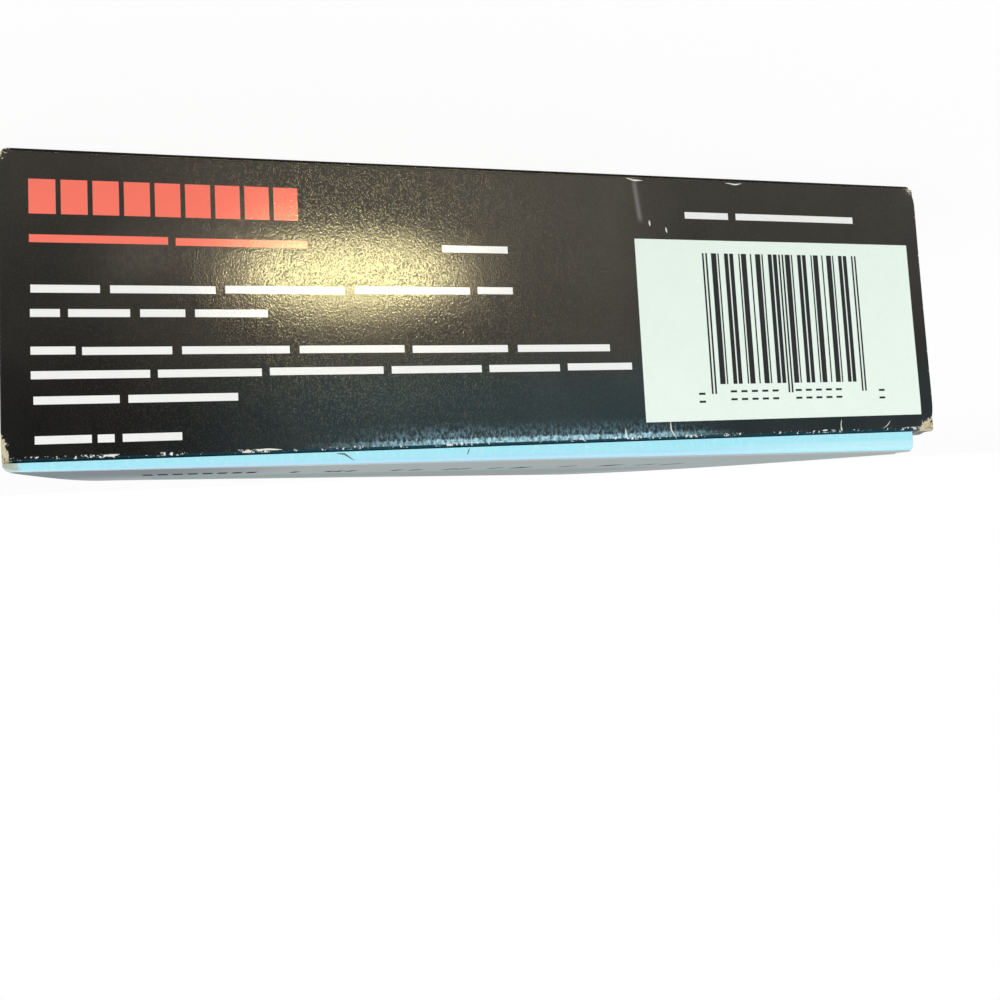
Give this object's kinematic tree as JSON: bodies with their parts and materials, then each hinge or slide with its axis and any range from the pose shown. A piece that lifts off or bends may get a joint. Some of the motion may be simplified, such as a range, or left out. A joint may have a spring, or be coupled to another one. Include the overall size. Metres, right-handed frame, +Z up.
{
  "type": "boxed electronic dictionary",
  "caption": "Closed printed board carton with tuck ends, holding a folding pocket electronic dictionary in a board cradle with its papers.",
  "frame": {"origin": "middle of the carton's underside, on the surface that it lies on", "axes": "+X across the width to the right side, +Y along the length to the far end, +Z up through the front panel; the pictured end faces -Y"},
  "size_m": [0.1561, 0.16, 0.0494],
  "materials": {
    "black_print": "gloss-laminated black print on board",
    "blue_print": "gloss-laminated light blue print on board",
    "raw_board": "uncoated grey-cream inside of the board",
    "white_board": "uncoated white board",
    "guide_paper": "matt printed paper",
    "case_plastic": "fine texture",
    "deck_plastic": "fine texture",
    "key_rubber": "matt",
    "foot_rubber": "matt",
    "board_laminate": "solder mask",
    "chip_plastic": "moulded",
    "screw_steel": "plated",
    "contact_brass": "plain",
    "window_plastic": "clear, polished",
    "display_glass": "polished"
  },
  "bodies": {
    "packed_carton": {"back_panel": "black_print", "front_panel": "blue_print", "left_side_panel": "black_print", "right_side_panel": "black_print", "glue_flap": "raw_board", "cradle_platform": "white_board", "cradle_left_leg": "white_board", "cradle_right_leg": "white_board", "cradle_left_fence": "white_board", "cradle_right_fence": "white_board", "cradle_near_fence": "white_board", "cradle_far_fence": "white_board", "user_guide": "guide_paper", "reference_card": "guide_paper", "base_shell": "case_plastic", "base_feet": "foot_rubber", "base_screws": "screw_steel", "key_deck": "deck_plastic", "key_mat": "key_rubber", "main_board": "board_laminate", "processor_chip": "chip_plastic", "memory_chip": "chip_plastic", "battery_door": "case_plastic", "left_battery_cell": "screw_steel", "right_battery_cell": "screw_steel", "battery_contact": "contact_brass", "left_hinge_pin": "screw_steel", "right_hinge_pin": "screw_steel"},
    "near_end": {"near_closure": "black_print", "near_tongue": "raw_board"},
    "far_end": {"far_closure": "black_print", "far_tongue": "raw_board"},
    "near_left_flap": {"near_left_dust_flap": "raw_board"},
    "near_right_flap": {"near_right_dust_flap": "raw_board"},
    "far_left_flap": {"far_left_dust_flap": "raw_board"},
    "far_right_flap": {"far_right_dust_flap": "raw_board"},
    "dictionary_lid": {"lid_shell": "case_plastic", "lid_bezel": "deck_plastic", "lid_screws": "screw_steel", "display_window": "window_plastic", "display_glass": "display_glass", "display_board": "board_laminate"}
  },
  "joints": [
    {"name": "near_closure_fold", "type": "hinge", "parent": "packed_carton", "child": "near_end", "pos_m": [0, -0.08, 0.0453], "axis": [-1, 0, 0], "range_deg": [0, 150]},
    {"name": "far_closure_fold", "type": "hinge", "parent": "packed_carton", "child": "far_end", "pos_m": [0, 0.08, 0.0453], "axis": [1, 0, 0], "range_deg": [0, 150]},
    {"name": "near_left_flap_fold", "type": "hinge", "parent": "packed_carton", "child": "near_left_flap", "pos_m": [-0.07795, -0.0792, 0.02], "axis": [0, 0, -1], "range_deg": [0, 38]},
    {"name": "near_right_flap_fold", "type": "hinge", "parent": "packed_carton", "child": "near_right_flap", "pos_m": [0.07795, -0.0792, 0.02], "axis": [0, 0, 1], "range_deg": [0, 38]},
    {"name": "far_left_flap_fold", "type": "hinge", "parent": "packed_carton", "child": "far_left_flap", "pos_m": [-0.07795, 0.0792, 0.02], "axis": [0, 0, 1], "range_deg": [0, 38]},
    {"name": "far_right_flap_fold", "type": "hinge", "parent": "packed_carton", "child": "far_right_flap", "pos_m": [0.07795, 0.0792, 0.02], "axis": [0, 0, -1], "range_deg": [0, 38]},
    {"name": "dictionary_lid_hinge", "type": "hinge", "parent": "packed_carton", "child": "dictionary_lid", "pos_m": [-0.038, 0, 0.021], "axis": [0, -1, 0], "range_deg": [0, 10]}
  ],
  "couplings": [
    {"joint": "near_left_flap_fold", "follows": "near_closure_fold", "ratio": 0.25},
    {"joint": "near_right_flap_fold", "follows": "near_closure_fold", "ratio": 0.25},
    {"joint": "far_left_flap_fold", "follows": "far_closure_fold", "ratio": 0.25},
    {"joint": "far_right_flap_fold", "follows": "far_closure_fold", "ratio": 0.25}
  ]
}
